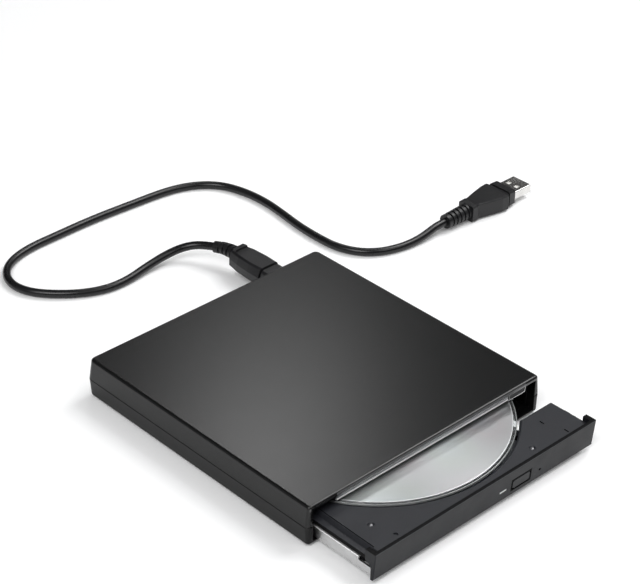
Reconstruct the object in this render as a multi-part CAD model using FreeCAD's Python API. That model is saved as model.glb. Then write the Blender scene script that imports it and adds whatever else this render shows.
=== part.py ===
import FreeCAD, Part
import os, math
from FreeCAD import Vector as V

# External slim optical disc drive, tray pulled part of the way out.
# Millimetres, +Z up, front (bezel) towards -Y.  Origin: centre of the
# footprint of the drive without its lead, on the surface it stands on.

# ---------------------------------------------------------------- sizes
CASE_HX_TOP = 66.3        # half width of the lid's flat top
CASE_HX_PART = 67.38      # half width at the line where the shells meet
CASE_HX_BOT = 66.96       # half width of the base at its foot
CASE_Y0 = -52.54          # front rim of the case
CASE_Y1_TOP = 85.46
CASE_Y1_PART = 86.54
CASE_Y1_BOT = 86.12
CASE_TOP = 19.2
CASE_PART = 9.4
CASE_BOT = 0.8
LID_T = 1.7
FLOOR_Z = 2.2
CAV_HX = 64.35
CAV_Y1 = 83.0

BEZ_HX = 64.0             # bezel is 128 mm wide
BEZ_Y0 = -86.54           # its front face at the top edge
BEZ_YR = -83.99           # its rear face
BEZ_Z0, BEZ_Z1 = 2.25, 15.40
BEZ_LEAN = 1.2            # lower edge stands this far further back

TRAY_TOP = 13.4
LEDGE_Z = 11.7
WELL_Z = 11.0
DISC_X, DISC_Y = 0.6, -19.04
DISC_R, DISC_HOLE_R, DISC_Z, DISC_T = 60.0, 7.5, 12.0, 1.2
RAIL_LEN = 112.0
RAIL_OUT_X = 62.8         # outer face of the left slide rail
FOOT_R, FOOT_H = 5.0, 1.4

CORD_D = 4.0
PLUG_X, PLUG_Z = 46.4, 9.7
HOST_Y, HOST_Z = 79.0, 4.9

os.makedirs("parts", exist_ok=True)
NODES = {}


def box(x0, y0, z0, x1, y1, z1):
    return Part.makeBox(x1 - x0, y1 - y0, z1 - z0, V(x0, y0, z0))


def cyl(r, x, y, z0, z1):
    return Part.makeCylinder(r, z1 - z0, V(x, y, z0))


def cyl_y(r, x, z, y0, y1):
    return Part.makeCylinder(r, y1 - y0, V(x, y0, z), V(0, 1, 0))


def cyl_x(r, y, z, x0, x1):
    return Part.makeCylinder(r, x1 - x0, V(x0, y, z), V(1, 0, 0))


def cone(r0, r1, p0, p1):
    d = p1 - p0
    if abs(r0 - r1) < 1e-6:
        return Part.makeCylinder(r0, d.Length, p0, d)
    return Part.makeCone(r0, r1, d.Length, p0, d)


def fuse(*s):
    a = s[0]
    for b in s[1:]:
        a = a.fuse(b)
    return a.removeSplitter()


def cut(a, *s):
    for b in s:
        a = a.cut(b)
    return a


def poly(pts):
    return Part.Face(Part.makePolygon([V(*p) for p in pts] + [V(*pts[0])]))


def fillet(shape, r, pick):
    es = [e for e in shape.Edges if pick(e)]
    if not es:
        return shape
    try:
        f = shape.makeFillet(r, es)
        return f if f.isValid() and f.Solids else shape
    except Exception:
        return shape


def along(e, axis, tol=1e-4):
    b = e.BoundBox
    d = [b.XLength, b.YLength, b.ZLength]
    return all(d[i] < tol for i in range(3) if i != axis) and d[axis] > tol


def rr(hx, y0, y1, z, rf, rb, x0=None):
    """rounded rectangle wire in a plane of constant z"""
    xl = -hx if x0 is None else x0
    k = 1 - math.sqrt(0.5)
    P = []

    def arc(a, m, b):
        return Part.Arc(V(*a, z), V(*m, z), V(*b, z)).toShape()

    def line(a, b):
        return Part.makeLine(V(*a, z), V(*b, z))
    P.append(line((xl + rf, y0), (hx - rf, y0)))
    P.append(arc((hx - rf, y0), (hx - rf * k, y0 + rf * k), (hx, y0 + rf)))
    P.append(line((hx, y0 + rf), (hx, y1 - rb)))
    P.append(arc((hx, y1 - rb), (hx - rb * k, y1 - rb * k), (hx - rb, y1)))
    P.append(line((hx - rb, y1), (xl + rb, y1)))
    P.append(arc((xl + rb, y1), (xl + rb * k, y1 - rb * k), (xl, y1 - rb)))
    P.append(line((xl, y1 - rb), (xl, y0 + rf)))
    P.append(arc((xl, y0 + rf), (xl + rf * k, y0 + rf * k), (xl + rf, y0)))
    return Part.Wire(P)


def rr_xz(cx, cz, w, h, r, y0, y1):
    """block along Y with a rounded rectangular section"""
    b = box(cx - w / 2, y0, cz - h / 2, cx + w / 2, y1, cz + h / 2)
    return fillet(b, r, lambda e: along(e, 1))


def rr_yz(cy, cz, w, h, r, x0, x1):
    b = box(x0, cy - w / 2, cz - h / 2, x1, cy + w / 2, cz + h / 2)
    return fillet(b, r, lambda e: along(e, 0))


def add(name, shape):
    if isinstance(shape, list):
        shape = Part.makeCompound(shape)
    NODES[name] = shape


# ---------------------------------------------------------------- case shells
def part_hx(z):
    return CASE_HX_TOP + (CASE_HX_PART - CASE_HX_TOP) * (CASE_TOP - z) / (CASE_TOP - CASE_PART)


def part_y1(z):
    return CASE_Y1_TOP + (CASE_Y1_PART - CASE_Y1_TOP) * (CASE_TOP - z) / (CASE_TOP - CASE_PART)


g = 0.25
upper = Part.makeLoft([
    rr(CASE_HX_TOP, CASE_Y0, CASE_Y1_TOP, CASE_TOP, 1.6, 2.6),
    rr(part_hx(CASE_PART + g), CASE_Y0, part_y1(CASE_PART + g), CASE_PART + g, 1.6, 2.9)], True, True)
upper2 = Part.makeLoft([
    rr(part_hx(CASE_PART + g), CASE_Y0, part_y1(CASE_PART + g), CASE_PART + g, 1.6, 2.9),
    rr(CASE_HX_PART - g, CASE_Y0 + g, CASE_Y1_PART - g, CASE_PART, 1.5, 2.7)], True, True)
upper = fillet(upper, 1.3, lambda e: abs(e.BoundBox.ZMin - CASE_TOP) < 1e-3 and e.BoundBox.ZLength < 1e-3
               and e.BoundBox.YMax > CASE_Y0 + 1.7)
upper = upper.fuse(upper2)
lower2 = Part.makeLoft([
    rr(CASE_HX_PART - g, CASE_Y0 + g, CASE_Y1_PART - g, CASE_PART, 1.5, 2.7),
    rr(CASE_HX_PART - 0.02, CASE_Y0, CASE_Y1_PART - 0.02, CASE_PART - g, 1.6, 2.9)], True, True)
lower = Part.makeLoft([
    rr(CASE_HX_PART - 0.02, CASE_Y0, CASE_Y1_PART - 0.02, CASE_PART - g, 1.6, 2.9),
    rr(CASE_HX_BOT, CASE_Y0, CASE_Y1_BOT, CASE_BOT, 1.6, 2.9)], True, True)
lower = fillet(lower, 1.1, lambda e: abs(e.BoundBox.ZMax - CASE_BOT) < 1e-3 and e.BoundBox.ZLength < 1e-3
               and e.BoundBox.YMax > CASE_Y0 + 1.7)
lower = lower.fuse(lower2)
cavity = box(-CAV_HX, -60, FLOOR_Z, CAV_HX, CAV_Y1, CASE_TOP - LID_T)
port = box(PLUG_X - 4.6, 82, PLUG_Z - 2.6, PLUG_X + 4.6, 90, PLUG_Z + 2.6)
BOSSES = [(-58.0, 79.5), (8.0, 79.5)]
top_cover = cut(upper, cavity, port)
top_cover = top_cover.removeSplitter()
top_cover = fillet(top_cover, 0.4, lambda e: abs(e.BoundBox.ZMin - CASE_TOP) < 1e-3 and abs(e.BoundBox.YMax - CASE_Y0) < 1e-3 and e.BoundBox.XLength > 100)
bottom_cover = cut(lower, cavity, port)
for bx, by in BOSSES:
    top_cover = top_cover.fuse(cut(cyl(2.6, bx, by, CASE_PART + 0.1, CASE_TOP - LID_T + 0.2),
                                   cyl(1.0, bx, by, CASE_PART, 15.5)))
    bottom_cover = bottom_cover.fuse(cyl(2.9, bx, by, FLOOR_Z - 0.2, CASE_PART))
    bottom_cover = cut(bottom_cover, cyl(1.2, bx, by, 0, 12), cyl(2.15, bx, by, 0, 2.6))
FEET = [(-55, -42), (55, -42), (-55, 72), (55, 72)]
for fx, fy in FEET:
    bottom_cover = bottom_cover.cut(cyl(FOOT_R + 0.1, fx, fy, 0, FOOT_H))
DSC = [(-46, -38), (56.5, -30), (-46, 62), (56.5, 62)]
for sx, sy in DSC:
    bottom_cover = bottom_cover.cut(cyl(1.15, sx, sy, 0, 4)).cut(cyl(2.1, sx, sy, 0, 1.75))
add("top_cover", top_cover.removeSplitter())
add("bottom_cover", bottom_cover.removeSplitter())
feet = []
for fx, fy in FEET:
    f = cyl(FOOT_R, fx, fy, 0, FOOT_H)
    f = fillet(f, 0.45, lambda e: e.BoundBox.ZMax < 0.01)
    feet.append(f)
add("rubber_feet", feet)
scr = []
for bx, by in BOSSES:
    h = cyl(1.9, bx, by, 1.25, 2.6)
    s = fuse(h, cyl(0.98, bx, by, 2.5, 13.0)).cut(box(bx - 1.3, by - 0.25, 1.2, bx + 1.3, by + 0.25, 1.8))
    s = s.cut(box(bx - 0.25, by - 1.3, 1.2, bx + 0.25, by + 1.3, 1.8))
    scr.append(s)
add("case_screws", scr)

# ---------------------------------------------------------------- drive box
PAN_Y0, PAN_Y1 = -48.5, 75.8
pan = fuse(box(-64.05, PAN_Y0, FLOOR_Z, 64.05, PAN_Y1, FLOOR_Z + 0.5),
           box(-64.05, PAN_Y0, FLOOR_Z, -63.6, PAN_Y1, 16.7),
           box(63.6, PAN_Y0, FLOOR_Z, 64.05, PAN_Y1, 16.7),
           box(-64.05, PAN_Y1 - 0.45, FLOOR_Z, 64.05, PAN_Y1, 16.7))
pan = pan.cut(box(49.5, 74, 4.2, 62.0, 77, 10.2))
for sx, sy in DSC:
    pan = pan.fuse(cyl(2.0, sx, sy, FLOOR_Z, 3.3))
    pan = pan.cut(cyl(1.0, sx, sy, 2, 5))
for lx in (-30, 0, 26):
    pan = pan.cut(box(lx - 9, -20, 2, lx + 9, -14, 3))
add("drive_chassis", pan.removeSplitter())
scr = []
for sx, sy in DSC:
    s = fuse(cyl(1.85, sx, sy, 0.95, 1.75), cyl(0.98, sx, sy, 1.7, 3.2))
    s = s.cut(box(sx - 1.2, sy - 0.22, 0.9, sx + 1.2, sy + 0.22, 1.35)).cut(box(sx - 0.22, sy - 1.2, 0.9, sx + 0.22, sy + 1.2, 1.35))
    scr.append(s)
add("drive_screws", scr)

# steel top cover with a leaning front flange and a lower tab on the right
plate = box(-64.05, -46.0, 16.8, 64.05, PAN_Y1, 17.3)
prof = poly([(0, -44, 17.3), (0, -51.34, 17.3), (0, -51.55, 17.1), (0, -52.04, 15.2),
             (0, -51.6, 15.2), (0, -51.1, 16.8), (0, -44, 16.8)])
fl = prof.extrude(V(99, 0, 0))
fl.translate(V(-51.3, 0, 0))
prof2 = poly([(0, -44, 17.3), (0, -51.95, 17.3), (0, -52.11, 17.1), (0, -51.6, 13.85), (0, -51.15, 13.85),
              (0, -51.65, 16.8), (0, -44, 16.8)])
tb = prof2.extrude(V(10.0, 0, 0))
tb.translate(V(48.7, 0, 0))
roll = cyl_x(0.3, -51.86, 15.22, -51.3, 47.7)
troll = cyl_x(0.24, -51.4, 14.0, 48.7, 58.7)
tedge = cone(0.22, 0.22, V(58.7, -51.4, 14.0), V(58.7, -51.85, 16.9))
cover = fuse(plate, fl, tb, roll, troll, tedge)
# a wide shallow stiffening dish pressed into the cover
dish = Part.makeCone(46, 47, 0.2, V(DISC_X, 14, 17.12))
cover = cover.cut(dish)
cover = cover.cut(box(47.7, -53, 16.9, 48.7, -50.2, 18))
add("drive_top_cover", cover.removeSplitter())

# fixed plastic guides that hold the slide rails
GY0, GY1 = -47.5, 60.0
gl = fuse(box(-63.55, GY0, 2.75, -63.0, GY1, 9.5), box(-63.55, GY0, 8.9, -61.9, GY1, 9.5))
add("rail_guide_left", gl)
gr = fuse(box(45.0, GY0, 2.75, 45.55, GY1, 9.5), box(43.9, GY0, 8.9, 45.55, GY1, 9.5),
          box(45.0, GY0, 2.75, 48.8, GY1, 3.5))
for y in (-40, 0, 40):
    gr = gr.fuse(poly([(45.4, y, 3.4), (48.6, y, 3.4), (45.4, y, 8.6)]).extrude(V(0, 1.2, 0)))
add("rail_guide_right", gr.removeSplitter())

# fixed main board on the right with its chips
pcb = box(50.0, -26, 4.4, 62.6, 71.5, 5.4)
for y in (-20, 66):
    pcb = pcb.cut(cyl(0.9, 60.0, y, 4, 6))
chips = [box(51.5, -6, 5.4, 60.5, 4, 6.5), box(52.0, 12, 5.4, 59.0, 24, 6.4), box(53, 34, 5.4, 58.5, 39, 6.6)]
for i in range(6):
    chips.append(box(51.2 + 1.9 * i, 46.0, 5.4, 52.2 + 1.9 * i, 47.8, 6.1))
ffc = fuse(box(51.0, -24.5, 5.4, 61.5, -20.5, 6.9))
pcb = fuse(pcb, *chips, ffc)
add("main_board", pcb)
st = [cyl(1.8, 60.0, y, 2.7, 4.4) for y in (-20, 66)]
add("board_standoffs", st)

# fixed catch that the tray latch hooks on
catch = fuse(box(33.0, -31.0, 2.7, 38.0, -25.0, 3.05), cyl(1.0, 35.6, -29.0, 2.9, 5.0))
add("latch_catch", catch)

# ---------------------------------------------------------------- bridge board
bb = box(20.0, 76.2, 6.7, 62.0, 82.7, 7.7)
bch = [box(24, 77.2, 7.7, 31, 81.8, 8.8), box(34, 77.6, 7.7, 36.4, 80.4, 9.0)]
bch.append(box(50.6, 76.2, 7.7, 61.0, 79.0, 9.8))
add("bridge_board", fuse(bb, *bch))
# two posts under the bridge board
bp = [cyl(2.0, 23.0, 79.4, FLOOR_Z, 6.7), cyl(2.0, 59.0, 79.4, FLOOR_Z, 6.7)]
add("board_posts", bp)
bc = cut(box(50.0, 67.0, 5.4, 61.5, 76.15, 9.8), box(51.2, 74.0, 6.8, 60.3, 77.0, 8.6))
add("board_connector", bc)
# mini USB socket: a folded steel can with a plastic tongue
sk = cut(box(PLUG_X - 3.85, 77.0, 7.72, PLUG_X + 3.85, 86.3, 11.62),
         box(PLUG_X - 3.55, 78.2, 8.02, PLUG_X + 3.55, 87.0, 11.32))
add("usb_socket", sk)
add("usb_socket_tongue", box(PLUG_X - 2.7, 78.2, 9.2, PLUG_X + 2.7, 84.0, 9.9))

# ---------------------------------------------------------------- slide rails
RY0 = -83.5
RY1 = RY0 + RAIL_LEN


def rail(xo, s):
    """channel rail; xo is its outer face, s points inwards"""
    def bx(a, b, y0, z0, y1, z1):
        xs = sorted((xo + s * a, xo + s * b))
        return box(xs[0], y0, z0, xs[1], y1, z1)
    r = fuse(bx(0, 0.8, RY0, 3.1, RY1, 8.6), bx(0, 3.0, RY0 + 6, 7.9, RY1, 8.6), bx(0, 3.0, RY0 + 6, 3.1, RY1, 3.8))
    r = r.cut(bx(-1, 4, RY0 - 1, 6.7, RY0 + 7.3, 9))
    r = r.cut(cyl_x(0.9, RY1 - 4, 5.8, xo - 5, xo + 5))
    return r


add("slide_rail_left", rail(-RAIL_OUT_X, 1))
add("slide_rail_right", rail(44.8, -1))

# ---------------------------------------------------------------- tray
TX0, TX1, TXR = -63.2, 61.6, 41.5
TY0, TYD, TY1 = BEZ_YR, -63.8, 42.9
deck = fuse(box(-59.2, TY0, 9.4, TXR, TY1, TRAY_TOP), box(TXR - 1, TY0, 9.8, TX1, TYD, TRAY_TOP))
deck = fillet(deck, 3.0, lambda e: along(e, 2) and abs(e.BoundBox.XMin - TXR) < 0.01 and abs(e.BoundBox.YMin - TYD) < 0.01)
deck = fillet(deck, 0.5, lambda e: along(e, 2) and ((abs(e.BoundBox.XMin - TX1) < 0.01 and abs(e.BoundBox.YMin - TYD) < 0.01)
                                                 or (abs(e.BoundBox.XMin - TXR) < 0.01 and abs(e.BoundBox.YMin - TY1) < 0.01)))
# left ledge, lower than the deck, its inner edge running slightly outwards to the front
ledge = box(TX0, TY0, 9.8, -58.0, TY1, LEDGE_Z)
wedge = Part.makeLoft([
    Part.makePolygon([V(-60.7, TY0, 11.2), V(-60.7, TY0, LEDGE_Z), V(-59.6, TY0, TRAY_TOP), V(-57, TY0, TRAY_TOP), V(-57, TY0, 11.2), V(-60.7, TY0, 11.2)]),
    Part.makePolygon([V(-59.2, TY1, 11.2), V(-59.2, TY1, LEDGE_Z), V(-58.1, TY1, TRAY_TOP), V(-57, TY1, TRAY_TOP), V(-57, TY1, 11.2), V(-59.2, TY1, 11.2)])], True, True)
deck = deck.cut(box(-70, TY0 - 1, LEDGE_Z, -57.0, TY1 + 1, 20)).fuse(wedge).fuse(ledge)
walls = fuse(box(-59.2, TY0, 4.0, -57.6, TY1, 9.6), box(39.9, TY0, 4.0, TXR, TY1, 9.6),
             box(-58, TY1 - 1.6, 4.0, 40, TY1, 9.6), box(-59.2, TY0, 4.0, 41.2, TY0 + 1.6, 9.6),
             box(46.2, TY0, 4.0, TX1, TY0 + 1.6, 10.2), box(TX1 - 1.2, TY0, 6.0, TX1, TYD - 0.5, 10.2),
             box(-61.6, TY0 + 7.5, 4.15, -59.0, -2.0, 7.55), box(41.0, TY0 + 7.5, 4.15, 43.6, -2.0, 7.55))
tray = fuse(deck, walls)
# small catches on the right edge of the deck
tray = tray.fuse(box(61.0, -74.2, 11.6, 62.0, -71.2, 13.2)).fuse(box(61.0, -77.2, 11.6, 61.9, -76.2, 13.2))
# disc well: bevelled rim, main seat and the small-disc seat, hub opening, pickup slot
well = Part.makeCylinder(61.0, 6, V(DISC_X, DISC_Y, WELL_Z))
rim = Part.makeCone(61.0, 62.0, 0.8, V(DISC_X, DISC_Y, TRAY_TOP - 0.7))
small = Part.makeCylinder(40.5, 6, V(DISC_X, DISC_Y, 10.3))
hubh = Part.makeCylinder(15.2, 9, V(DISC_X, DISC_Y, 6))
slot = box(DISC_X - 17.5, DISC_Y, 6, DISC_X + 17.5, 40.9, 15)
tray = cut(tray, well, rim, small, hubh, slot)
# fine groove along the deck's left edge
grv = Part.makeLoft([Part.makePolygon([V(x, y, z) for x, z in ((x0, 13.0), (x0, 14.0), (x0 + 0.5, 14.0), (x0 + 0.5, 13.0), (x0, 13.0))])
                     for x0, y in ((-59.35, TY0 + 3.4), (-57.85, TY1 + 1))], True, True)
tray = tray.cut(grv)
# the well is open below its right end, behind the disc's edge
sect = Part.makeCylinder(61.0, 8, V(DISC_X, DISC_Y, 7.6), V(0, 0, 1), 13.0).cut(Part.makeCylinder(50.0, 8, V(DISC_X, DISC_Y, 7.6), V(0, 0, 1), 13.0))
sect.rotate(V(DISC_X, DISC_Y, 0), V(0, 0, 1), -57.0)
tray = tray.cut(sect)
# clear the bezel's ears
tray = tray.cut(box(-64, TY0 - 1, 8, -61.5, TY0 + 3.3, 14))
# open the left ledge to the well and cut the two narrow slots and the finger notches
tray = tray.cut(box(47.75, -71.8, 12.4, 48.35, -69.4, 20)).cut(box(51.1, -82.4, 12.6, 51.7, -79.9, 20))
tray = tray.cut(cyl(1.0, -47.6, -80.8, 12.9, 20))
PINS = [(-50.4, -70.1), (32.2, -79.5)]
for px, py in PINS:
    tray = tray.cut(cone(1.0, 1.5, V(px, py, 12.9), V(px, py, TRAY_TOP + 0.01))).cut(cyl(0.85, px, py, 10, 20))
tray = tray.removeSplitter()
add("tray", tray)
pins = []
for px, py in PINS:
    s = fuse(cyl(0.8, px, py, 10.1, 13.05), Part.makeSphere(1.2, V(px, py, 12.16)).common(cyl(0.8, px, py, 13.0, 14)))
    pins.append(s)
add("tray_screws", pins)

# ---------------------------------------------------------------- bezel
BTN = (19.1, 7.45, 10.1, 4.1)      # centre x, z, width, height
LED = (8.35, 7.2, 3.9, 0.95)
PIN_X, PIN_Z, PIN_R = 30.4, 6.95, 0.6


def bez_y(z):
    return BEZ_Y0 + BEZ_LEAN * (BEZ_Z1 - z) / (BEZ_Z1 - BEZ_Z0)


bprof = poly([(-BEZ_HX, BEZ_Y0, BEZ_Z1), (-BEZ_HX, BEZ_YR, BEZ_Z1), (-BEZ_HX, BEZ_YR, BEZ_Z0), (-BEZ_HX, BEZ_Y0 + BEZ_LEAN, BEZ_Z0)])
bez = bprof.extrude(V(2 * BEZ_HX, 0, 0))
bez = fillet(bez, 0.5, lambda e: e.BoundBox.YMax < BEZ_YR - 0.5)
for s in (-1, 1):
    x0, x1 = sorted((s * BEZ_HX, s * (BEZ_HX - 2.2)))
    ear = poly([(x0, BEZ_YR - 0.3, BEZ_Z1), (x0, BEZ_YR + 3.0, BEZ_Z1), (x0, BEZ_YR + 3.0, 10.2), (x0, BEZ_YR - 0.3, 8.6)]).extrude(V(x1 - x0, 0, 0))
    bez = bez.fuse(ear)
bez = bez.cut(box(-BEZ_HX + 2.2, -84.85, 13.5, BEZ_HX - 2.2, BEZ_YR + 1, 20))
bez = bez.removeSplitter()
bez = bez.cut(rr_xz(BTN[0], BTN[1], BTN[2] + 1.0, BTN[3] + 1.0, 1.35, BEZ_Y0 - 2, BEZ_YR + 1))
bez = bez.cut(box(LED[0] - LED[2] / 2, BEZ_Y0 - 2, LED[1] - LED[3] / 2, LED[0] + LED[2] / 2, BEZ_YR + 1, LED[1] + LED[3] / 2))
bez = bez.cut(cyl_y(PIN_R, PIN_X, PIN_Z, BEZ_Y0 - 2, BEZ_YR + 1))
add("front_bezel", bez)
# matching openings through the tray's front wall
t = NODES["tray"]
t = t.cut(box(BTN[0] - 6.0, TY0 - 1, BTN[1] - 3.2, BTN[0] + 6.0, TY0 + 2, BTN[1] + 2.2))
t = t.cut(box(LED[0] - 2.6, TY0 - 1, LED[1] - 1.2, LED[0] + 2.6, TY0 + 2, LED[1] + 1.2))
t = t.cut(cyl_y(0.9, PIN_X, PIN_Z, TY0 - 1, TY0 + 2))
add("tray", t.removeSplitter())

# eject button: cap flush with the sloping face, guide flange behind, stem
cap = rr_xz(BTN[0], BTN[1], BTN[2], BTN[3], 1.0, BEZ_Y0 - 1, BEZ_YR + 0.6)
slope = poly([(0, BEZ_Y0 - 3, 20), (0, bez_y(20) + 0.02, 20), (0, bez_y(-5) + 0.02, -5), (0, BEZ_Y0 - 3, -5)]).extrude(V(60, 0, 0))
cap = cap.cut(slope)
btn = fuse(cap, box(BTN[0] - 1.5, BEZ_YR + 0.4, BTN[1] - 1.0, BTN[0] + 1.5, BEZ_YR + 1.4, BTN[1] + 1.0))
add("eject_button", btn)
lens = box(LED[0] - LED[2] / 2, BEZ_Y0, LED[1] - LED[3] / 2, LED[0] + LED[2] / 2, -81.6, LED[1] + LED[3] / 2)
slope2 = slope.copy()
slope2.translate(V(-10, 0.0, 0))
lens = lens.cut(slope2)
add("led_window", lens)
# switch board behind the bezel, with the eject switch and the status light
sb = fuse(box(3.5, -80.4, 4.2, 27.0, -79.6, 9.3), box(BTN[0] - 2.2, -81.8, BTN[1] - 1.6, BTN[0] + 2.2, -80.4, BTN[1] + 1.6),
          box(LED[0] - 1.2, -81.4, LED[1] - 0.8, LED[0] + 1.2, -80.4, LED[1] + 0.8))
add("switch_board", sb)

# ---------------------------------------------------------------- under the deck
BZ0, BZ1 = 3.4, 3.9
btm = box(-57.3, TY0 + 2.2, BZ0, 39.6, TY1 - 2.0, BZ1 + 0.05)
btm = fuse(btm, box(-57.3, TY0 + 2.2, BZ0, -56.7, TY1 - 2.0, 5.0), box(39.0, TY0 + 2.2, BZ0, 39.6, TY1 - 2.0, 5.0))
btm = btm.cut(box(33.9, -62.5, 3, 37.3, 45, 6))
for x in (-40, -22):
    btm = btm.cut(box(x - 6, -40, 3, x + 6, -36, 6))
add("tray_bottom_plate", btm.removeSplitter())

# spindle motor: mounting plate, stator can and shaft bearing
mot = fuse(box(DISC_X - 14, DISC_Y - 15, 4.0, DISC_X + 14, DISC_Y + 11.5, 4.7), cyl(11.2, DISC_X, DISC_Y, 4.6, 6.4), cyl(3.0, DISC_X, DISC_Y, 6.3, 7.4))
mot = mot.cut(cyl(1.04, DISC_X, DISC_Y, 4.4, 9))
add("spindle_motor", mot)
# rotor, platter and centring boss turn together
rot = cut(cyl(12.6, DISC_X, DISC_Y, 6.8, 10.6), cyl(12.0, DISC_X, DISC_Y, 6.0, 9.6))
rot = fuse(rot, cyl(13.6, DISC_X, DISC_Y, 10.4, DISC_Z), cyl(7.35, DISC_X, DISC_Y, 11.9, 14.3),
           Part.makeCone(7.35, 5.6, 0.6, V(DISC_X, DISC_Y, 14.3)), cyl(1.0, DISC_X, DISC_Y, 4.9, 9.8))
rot = rot.cut(cyl(2.0, DISC_X, DISC_Y, 13.6, 16))
for k in range(3):
    a = math.radians(90 + 120 * k)
    p = V(DISC_X + 6.7 * math.cos(a), DISC_Y + 6.7 * math.sin(a), 13.92)
    rot = rot.cut(Part.makeSphere(1.06, p))
add("turntable_hub", rot)
balls = []
for k in range(3):
    a = math.radians(90 + 120 * k)
    balls.append(Part.makeSphere(1.0, V(DISC_X + 6.7 * math.cos(a), DISC_Y + 6.7 * math.sin(a), 13.92)))
add("clamp_balls", balls)
disc = cut(cyl(DISC_R, DISC_X, DISC_Y, DISC_Z, DISC_Z + DISC_T), cyl(DISC_HOLE_R, DISC_X, DISC_Y, 10, 15))
disc = fillet(disc, 0.25, lambda e: e.BoundBox.XLength > 119.9)
add("optical_disc", disc)

# pickup: guide rods, sled, lens, lead screw, feed motor
ROD_Z, ROD_R = 6.3, 1.1
RODS = [DISC_X - 16.2, DISC_X + 16.2]
rods = [cyl_y(ROD_R, x, ROD_Z, -9.4, 42.3) for x in RODS]
add("guide_rods", rods)
clips = []
for x in RODS:
    c = box(x - 2.0, -9.4, 3.95, x + 2.0, -7.4, 8.3).cut(cyl_y(ROD_R, x, ROD_Z, -11, -6))
    clips.append(c)
add("rod_clips", clips)
LY0 = DISC_Y + 23.0
SLED_TRAVEL = 33.4
S0, S1 = LY0 - 10.1, LY0 + 3.4
sled = fuse(box(DISC_X - 12.5, S0, 5.0, DISC_X + 12.5, S1, 9.2),
            box(RODS[0] - 2.4, S0, 4.4, RODS[0] + 4.0, S0 + 4.0, 8.2), box(RODS[0] - 2.4, S1 - 4.0, 4.4, RODS[0] + 4.0, S1, 8.2),
            box(RODS[1] - 4.0, LY0 - 6.0, 4.7, RODS[1] + 2.4, LY0 - 1.0, 8.0))
sled = sled.cut(cyl_y(ROD_R + 0.05, RODS[0], ROD_Z, LY0 - 20, LY0 + 20)).cut(cyl_y(ROD_R + 0.05, RODS[1], ROD_Z, LY0 - 20, LY0 + 20))
sled = sled.cut(box(RODS[1], LY0 - 9, ROD_Z - 1.15, RODS[1] + 4, LY0 + 3, ROD_Z + 1.15))
sled = sled.cut(cyl(3.2, DISC_X, LY0, 8.0, 12)).cut(box(DISC_X - 9, LY0 - 8.0, 8.6, DISC_X - 4.6, LY0 + 2.6, 10))
sled = sled.cut(box(DISC_X + 4.6, LY0 - 8.0, 8.6, DISC_X + 9, LY0 + 2.6, 10))
SCR_X = RODS[0] - 6.2
sled = sled.fuse(box(SCR_X + 1.65, S0 + 0.6, 4.9, RODS[0] - 1.9, S0 + 3.0, 7.7))
add("laser_sled", sled.removeSplitter())
ol = fuse(cyl(2.9, DISC_X, LY0, 8.0, 9.6), cyl(2.0, DISC_X, LY0, 9.5, 10.3))
dome = Part.makeSphere(3.2, V(DISC_X, LY0, 7.7)).common(cyl(1.9, DISC_X, LY0, 10.0, 11.2))
add("objective_lens", fuse(ol, dome))
# lead screw: 3 mm lead, its thread drawn as turned grooves
ls = cyl_y(1.3, SCR_X, ROD_Z, -10.0, 40.8)
for i in range(16):
    y = -8.0 + 3.0 * i
    ring = cut(cyl_y(1.6, SCR_X, ROD_Z, y, y + 0.9), cyl_y(1.0, SCR_X, ROD_Z, y - 1, y + 2))
    ls = ls.cut(ring)
ls = fuse(ls, cyl_y(0.7, SCR_X, ROD_Z, -11.6, -9.9), cyl_y(0.7, SCR_X, ROD_Z, 40.7, 42.2))
add("lead_screw", ls)
fm = fuse(cyl_y(2.3, SCR_X, ROD_Z, -18.6, -11.0), box(SCR_X - 2.3, -11.2, 3.95, SCR_X + 2.3, -10.6, ROD_Z + 2.3),
          box(SCR_X - 1.6, -18.6, 3.95, SCR_X + 1.6, -11.0, 5.0))
fm = fm.cut(cyl_y(0.75, SCR_X, ROD_Z, -11.9, -8))
add("feed_motor", fm)
t = NODES["tray"]
for x in RODS:
    t = t.cut(cyl_y(ROD_R + 0.01, x, ROD_Z, 40, 42.35))
t = t.cut(cyl_y(0.75, SCR_X, ROD_Z, 40, 42.3))
# slot for the fixed catch in the rear wall
t = t.cut(box(33.9, 40, 3, 37.3, 45, 5.6))
add("tray", t.removeSplitter())

# eject latch in the tray's front right: lever, pivot post, solenoid
LX, LY = 31.0, -66.0
latch = fuse(cyl(2.2, LX, LY, 4.3, 5.3), box(LX - 1.1, LY, 4.3, LX + 1.1, LY + 8.5, 5.3),
             box(LX - 1.1, LY + 7.2, 4.3, LX + 3.2, LY + 8.8, 5.3), box(LX - 6.0, LY - 1.0, 4.3, LX, LY + 1.0, 5.3))
latch = latch.cut(cyl(1.05, LX, LY, 4, 6))
add("latch_lever", latch)
lp = cyl(1.0, LX, LY, 4.0, 9.4)
add("latch_post", lp)
sol = fuse(box(16.0, -71.5, 3.95, 22.6, -60.5, 8.6), cyl_x(0.9, -66.0, 6.0, 22.4, 23.8))
add("eject_solenoid", sol)

# ---------------------------------------------------------------- lead
# plug at the drive: steel shell, moulded grip with a stepped collar, ribbed relief
ps = cut(rr_xz(PLUG_X, PLUG_Z + 0.0, 6.8, 3.0, 0.35, 80.2, 88.0), box(PLUG_X - 3.1, 79, PLUG_Z - 1.2, PLUG_X + 3.1, 87.0, PLUG_Z + 1.2))
add("drive_plug_shell", ps)


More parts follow.
